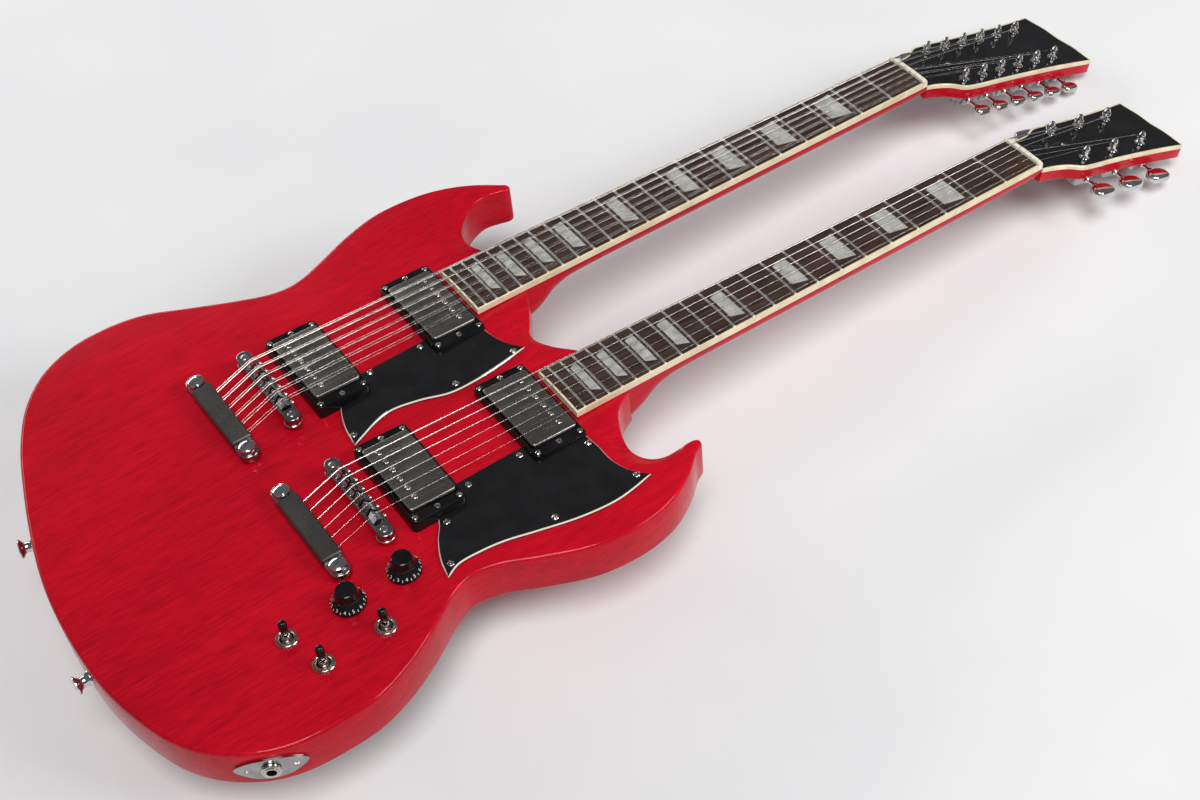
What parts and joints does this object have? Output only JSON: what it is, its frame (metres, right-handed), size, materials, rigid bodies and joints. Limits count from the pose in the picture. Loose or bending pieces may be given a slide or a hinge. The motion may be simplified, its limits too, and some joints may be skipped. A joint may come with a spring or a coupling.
{
  "type": "double-neck electric guitar",
  "caption": "Double-neck solid-body electric guitar: horned body, a twelve-string and a six-string neck, covered pickups, bridges, turning tuner keys, knobs and toggles.",
  "frame": {"origin": "on the flat back of the body, midway between the two necks at the line of the two bridges", "axes": "+X along the necks towards the heads, +Y towards the twelve-string (bass) side, +Z out of the face, so the guitar lies on its back"},
  "size_m": [1.0471, 0.4331, 0.1099],
  "materials": {
    "cherry_wood": "clear gloss over cherry-stained mahogany",
    "rosewood": "satin oiled board",
    "ivory_nut": "smooth satin",
    "string_steel": "plain and wound steel",
    "pickup_cover": "polished nickel",
    "black_plastic": "gloss",
    "guard_black": "gloss, with a pale middle layer at the edge",
    "control_metal": "plain plated steel",
    "switch_nickel": "polished nickel",
    "chrome_parts": "polished chrome"
  },
  "bodies": {
    "guitar": {"body": "cherry_wood", "control_cover": "black_plastic", "tuners_12_bass": "chrome_parts", "tuners_12_treble": "chrome_parts", "fingerboard_12": "rosewood", "nut_12": "ivory_nut", "neck_12": "cherry_wood", "strings_12": "string_steel", "bridge_12": "chrome_parts", "tailpiece_12": "chrome_parts", "pickguard_12": "guard_black", "pickup_ring_neck_12": "black_plastic", "pickup_ring_bridge_12": "black_plastic", "tuners_6_bass": "chrome_parts", "tuners_6_treble": "chrome_parts", "fingerboard_6": "rosewood", "nut_6": "ivory_nut", "neck_6": "cherry_wood", "strings_6": "string_steel", "bridge_6": "chrome_parts", "tailpiece_6": "chrome_parts", "pickguard_6": "guard_black", "pickup_ring_neck_6": "black_plastic", "pickup_ring_bridge_6": "black_plastic", "pot_1": "control_metal", "pot_2": "control_metal", "switch_1": "switch_nickel", "switch_2": "switch_nickel", "switch_3": "switch_nickel", "jack_plate": "chrome_parts", "jack_socket": "chrome_parts", "strap_button_upper": "chrome_parts", "strap_button_lower": "chrome_parts"},
    "key_12_bass_1": {"key_12_bass_1": "chrome_parts"},
    "key_12_bass_2": {"key_12_bass_2": "chrome_parts"},
    "key_12_bass_3": {"key_12_bass_3": "chrome_parts"},
    "key_12_bass_4": {"key_12_bass_4": "chrome_parts"},
    "key_12_bass_5": {"key_12_bass_5": "chrome_parts"},
    "key_12_bass_6": {"key_12_bass_6": "chrome_parts"},
    "key_12_treble_1": {"key_12_treble_1": "chrome_parts"},
    "key_12_treble_2": {"key_12_treble_2": "chrome_parts"},
    "key_12_treble_3": {"key_12_treble_3": "chrome_parts"},
    "key_12_treble_4": {"key_12_treble_4": "chrome_parts"},
    "key_12_treble_5": {"key_12_treble_5": "chrome_parts"},
    "key_12_treble_6": {"key_12_treble_6": "chrome_parts"},
    "pickup_neck_12": {"pickup_neck_12": "pickup_cover"},
    "pickup_bridge_12": {"pickup_bridge_12": "pickup_cover"},
    "key_6_bass_1": {"key_6_bass_1": "chrome_parts"},
    "key_6_bass_2": {"key_6_bass_2": "chrome_parts"},
    "key_6_bass_3": {"key_6_bass_3": "chrome_parts"},
    "key_6_treble_1": {"key_6_treble_1": "chrome_parts"},
    "key_6_treble_2": {"key_6_treble_2": "chrome_parts"},
    "key_6_treble_3": {"key_6_treble_3": "chrome_parts"},
    "pickup_neck_6": {"pickup_neck_6": "pickup_cover"},
    "pickup_bridge_6": {"pickup_bridge_6": "pickup_cover"},
    "knob_1": {"knob_1": "black_plastic"},
    "knob_2": {"knob_2": "black_plastic"},
    "lever_1": {"lever_1": "black_plastic"},
    "lever_2": {"lever_2": "black_plastic"},
    "lever_3": {"lever_3": "black_plastic"}
  },
  "joints": [
    {"name": "key_12_bass_1_turn", "type": "hinge", "parent": "guitar", "child": "key_12_bass_1", "pos_m": [0.67445, 0.09653, -0.01621], "axis": [-0.0052, 1, 0], "continuous": true},
    {"name": "key_12_bass_2_turn", "type": "hinge", "parent": "guitar", "child": "key_12_bass_2", "pos_m": [0.69637, 0.09665, -0.02249], "axis": [-0.0052, 1, 0], "continuous": true},
    {"name": "key_12_bass_3_turn", "type": "hinge", "parent": "guitar", "child": "key_12_bass_3", "pos_m": [0.71828, 0.09676, -0.02878], "axis": [-0.0052, 1, 0], "continuous": true},
    {"name": "key_12_bass_4_turn", "type": "hinge", "parent": "guitar", "child": "key_12_bass_4", "pos_m": [0.7402, 0.09688, -0.03506], "axis": [-0.0052, 1, 0], "continuous": true},
    {"name": "key_12_bass_5_turn", "type": "hinge", "parent": "guitar", "child": "key_12_bass_5", "pos_m": [0.76212, 0.09699, -0.04135], "axis": [-0.0052, 1, 0], "continuous": true},
    {"name": "key_12_bass_6_turn", "type": "hinge", "parent": "guitar", "child": "key_12_bass_6", "pos_m": [0.78403, 0.09711, -0.04763], "axis": [-0.0052, 1, 0], "continuous": true},
    {"name": "key_12_treble_1_turn", "type": "hinge", "parent": "guitar", "child": "key_12_treble_1", "pos_m": [0.67471, 0.04653, -0.01621], "axis": [0.0052, -1, 0], "continuous": true},
    {"name": "key_12_treble_2_turn", "type": "hinge", "parent": "guitar", "child": "key_12_treble_2", "pos_m": [0.69663, 0.04665, -0.02249], "axis": [0.0052, -1, 0], "continuous": true},
    {"name": "key_12_treble_3_turn", "type": "hinge", "parent": "guitar", "child": "key_12_treble_3", "pos_m": [0.71855, 0.04676, -0.02878], "axis": [0.0052, -1, 0], "continuous": true},
    {"name": "key_12_treble_4_turn", "type": "hinge", "parent": "guitar", "child": "key_12_treble_4", "pos_m": [0.74046, 0.04688, -0.03506], "axis": [0.0052, -1, 0], "continuous": true},
    {"name": "key_12_treble_5_turn", "type": "hinge", "parent": "guitar", "child": "key_12_treble_5", "pos_m": [0.76238, 0.04699, -0.04135], "axis": [0.0052, -1, 0], "continuous": true},
    {"name": "key_12_treble_6_turn", "type": "hinge", "parent": "guitar", "child": "key_12_treble_6", "pos_m": [0.7843, 0.04711, -0.04763], "axis": [0.0052, -1, 0], "continuous": true},
    {"name": "pickup_neck_12_height", "type": "slide", "parent": "guitar", "child": "pickup_neck_12", "axis": [0.0488, 0.0003, 0.9988], "range_m": [-0.003, 0.001]},
    {"name": "pickup_bridge_12_height", "type": "slide", "parent": "guitar", "child": "pickup_bridge_12", "axis": [0.0488, 0.0003, 0.9988], "range_m": [-0.003, 0.001]},
    {"name": "key_6_bass_1_turn", "type": "hinge", "parent": "guitar", "child": "key_6_bass_1", "pos_m": [0.68178, -0.05107, -0.01927], "axis": [0.0052, 1, 0], "continuous": true},
    {"name": "key_6_bass_2_turn", "type": "hinge", "parent": "guitar", "child": "key_6_bass_2", "pos_m": [0.71573, -0.05125, -0.02965], "axis": [0.0052, 1, 0], "continuous": true},
    {"name": "key_6_bass_3_turn", "type": "hinge", "parent": "guitar", "child": "key_6_bass_3", "pos_m": [0.74968, -0.05142, -0.04003], "axis": [0.0052, 1, 0], "continuous": true},
    {"name": "key_6_treble_1_turn", "type": "hinge", "parent": "guitar", "child": "key_6_treble_1", "pos_m": [0.68156, -0.09207, -0.01927], "axis": [-0.0052, -1, 0], "continuous": true},
    {"name": "key_6_treble_2_turn", "type": "hinge", "parent": "guitar", "child": "key_6_treble_2", "pos_m": [0.71551, -0.09225, -0.02965], "axis": [-0.0052, -1, 0], "continuous": true},
    {"name": "key_6_treble_3_turn", "type": "hinge", "parent": "guitar", "child": "key_6_treble_3", "pos_m": [0.74946, -0.09242, -0.04003], "axis": [-0.0052, -1, 0], "continuous": true},
    {"name": "pickup_neck_6_height", "type": "slide", "parent": "guitar", "child": "pickup_neck_6", "axis": [0.0488, -0.0003, 0.9988], "range_m": [-0.003, 0.001]},
    {"name": "pickup_bridge_6_height", "type": "slide", "parent": "guitar", "child": "pickup_bridge_6", "axis": [0.0488, -0.0003, 0.9988], "range_m": [-0.003, 0.001]},
    {"name": "knob_1_turn", "type": "hinge", "parent": "guitar", "child": "knob_1", "pos_m": [-0.04816, -0.1352, 0.04], "axis": [0, 0, 1], "range_deg": [-150, 150]},
    {"name": "knob_2_turn", "type": "hinge", "parent": "guitar", "child": "knob_2", "pos_m": [-0.00402, -0.1352, 0.04], "axis": [0, 0, 1], "range_deg": [-150, 150]},
    {"name": "lever_1_throw", "type": "hinge", "parent": "guitar", "child": "lever_1", "pos_m": [-0.09617, -0.1352, 0.0382], "axis": [1, 0, 0], "range_deg": [-12, 12]},
    {"name": "lever_2_throw", "type": "hinge", "parent": "guitar", "child": "lever_2", "pos_m": [-0.08599, -0.1681, 0.0382], "axis": [1, 0, 0], "range_deg": [-12, 12]},
    {"name": "lever_3_throw", "type": "hinge", "parent": "guitar", "child": "lever_3", "pos_m": [-0.03798, -0.16767, 0.0382], "axis": [1, 0, 0], "range_deg": [-12, 12]}
  ]
}
